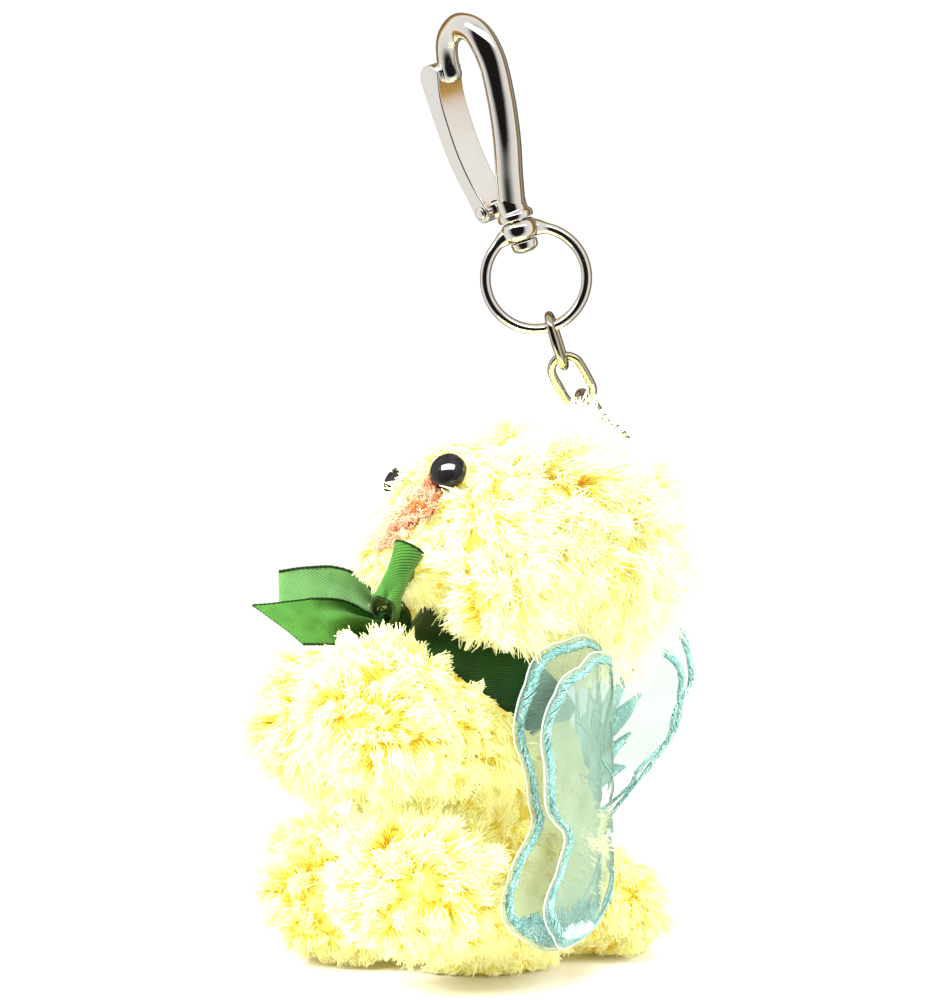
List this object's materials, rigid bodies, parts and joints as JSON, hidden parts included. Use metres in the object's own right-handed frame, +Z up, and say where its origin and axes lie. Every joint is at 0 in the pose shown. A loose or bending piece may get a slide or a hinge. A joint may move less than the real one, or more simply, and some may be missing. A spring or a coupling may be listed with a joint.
{
  "type": "plush keychain",
  "caption": "Sitting fluffy plush puppy with a satin neck bow and butterfly wings, on a short chain with a swivel ring and a spring-gate snap hook.",
  "frame": {"origin": "middle of the object's footprint, on the surface that the plush sits on", "axes": "+Z up along the chain and hook, -Y the way the plush faces, +X to its left side"},
  "size_m": [0.0674, 0.123, 0.1992],
  "materials": {
    "fur": "pale lemon chenille pile, matte",
    "filling": "white polyester fibre filling",
    "satin": "green satin ribbon with a soft sheen",
    "organza": "pale aqua organza with satin-stitch embroidery",
    "metal": "polished nickel plate",
    "eye": "glossy black",
    "washer": "moulded natural nylon",
    "nose": "salmon wool fuzz",
    "tape": "woven tape"
  },
  "bodies": {
    "plush": {"torso_skin": "fur", "torso_stuffing": "filling", "head_skin": "fur", "head_stuffing": "filling", "eye_left": "eye", "eye_washer_left": "washer", "eye_right": "eye", "eye_washer_right": "washer", "nose": "nose", "muzzle": "fur", "arm_left_skin": "fur", "arm_left_stuffing": "filling", "arm_right_skin": "fur", "arm_right_stuffing": "filling", "leg_left_skin": "fur", "leg_left_stuffing": "filling", "leg_right_skin": "fur", "leg_right_stuffing": "filling", "tail_skin": "fur", "tail_stuffing": "filling", "ribbon_collar": "satin", "bow_knot": "satin", "bow_loop_left": "satin", "bow_loop_right": "satin", "bow_tail_left": "satin", "bow_tail_right": "satin", "wing_stitch": "organza", "anchor_loop": "tape"},
    "left_ear": {"ear_left": "fur"},
    "right_ear": {"ear_right": "fur"},
    "left_wing": {"wing_large_left": "organza", "wing_small_left": "organza"},
    "right_wing": {"wing_large_right": "organza", "wing_small_right": "organza"},
    "link_4": {"chain_link_4": "metal"},
    "link_3": {"chain_link_3": "metal"},
    "link_2": {"chain_link_2": "metal"},
    "link_1": {"chain_link_1": "metal"},
    "ring": {"swivel_ring": "metal"},
    "hook": {"hook_body": "metal", "swivel_post": "metal", "gate_pin": "metal", "gate_spring": "metal"},
    "gate": {"gate": "metal"}
  },
  "joints": [
    {"name": "anchor_swing", "type": "hinge", "parent": "plush", "child": "link_4", "pos_m": [-0.00239, 0.02593, 0.10462], "axis": [-0.866, -0.3993, -0.3009], "range_deg": [0, 50]},
    {"name": "link_3_swing", "type": "hinge", "parent": "link_4", "child": "link_3", "pos_m": [-0.00239, 0.01907, 0.11373], "axis": [-0.866, -0.3993, -0.3009], "range_deg": [-25, 30]},
    {"name": "link_2_swing", "type": "hinge", "parent": "link_3", "child": "link_2", "pos_m": [-0.00239, 0.01306, 0.1207], "axis": [-0.6157, 0.6037, 0.5065], "range_deg": [-20, 30]},
    {"name": "link_1_swing", "type": "hinge", "parent": "link_2", "child": "link_1", "pos_m": [-0.00239, 0.00827, 0.12858], "axis": [-0.7071, -0.593, -0.3851], "range_deg": [-25, 30]},
    {"name": "ring_swing", "type": "hinge", "parent": "link_1", "child": "ring", "pos_m": [-0.00239, 0.00557, 0.13745], "axis": [-0.809, 0.5523, 0.201], "range_deg": [-20, 30]},
    {"name": "hook_swivel", "type": "hinge", "parent": "ring", "child": "hook", "pos_m": [-0.00239, -0.00228, 0.1573], "axis": [0, -0.3649, 0.9311], "continuous": true},
    {"name": "gate_open", "type": "hinge", "parent": "hook", "child": "gate", "pos_m": [-0.00847, -0.00471, 0.16022], "axis": [-0.1941, 0.9133, 0.3579], "range_deg": [0, 22], "stiffness_Nm_per_rad": 0.02, "springref_deg": -28.65},
    {"name": "left_ear_lift", "type": "hinge", "parent": "plush", "child": "left_ear", "pos_m": [0.01111, -0.01404, 0.104], "axis": [0.2588, -0.9659, 0], "range_deg": [0, 35]},
    {"name": "right_ear_lift", "type": "hinge", "parent": "plush", "child": "right_ear", "pos_m": [-0.00919, -0.02023, 0.1026], "axis": [-0.2588, 0.9659, 0], "range_deg": [0, 35]},
    {"name": "left_wing_flap", "type": "hinge", "parent": "plush", "child": "left_wing", "pos_m": [-0.00119, 0.01456, 0.031], "axis": [0, 0, 1], "range_deg": [0, 45]},
    {"name": "right_wing_flap", "type": "hinge", "parent": "plush", "child": "right_wing", "pos_m": [-0.00359, 0.01456, 0.031], "axis": [0, 0, 1], "range_deg": [0, 40]}
  ]
}
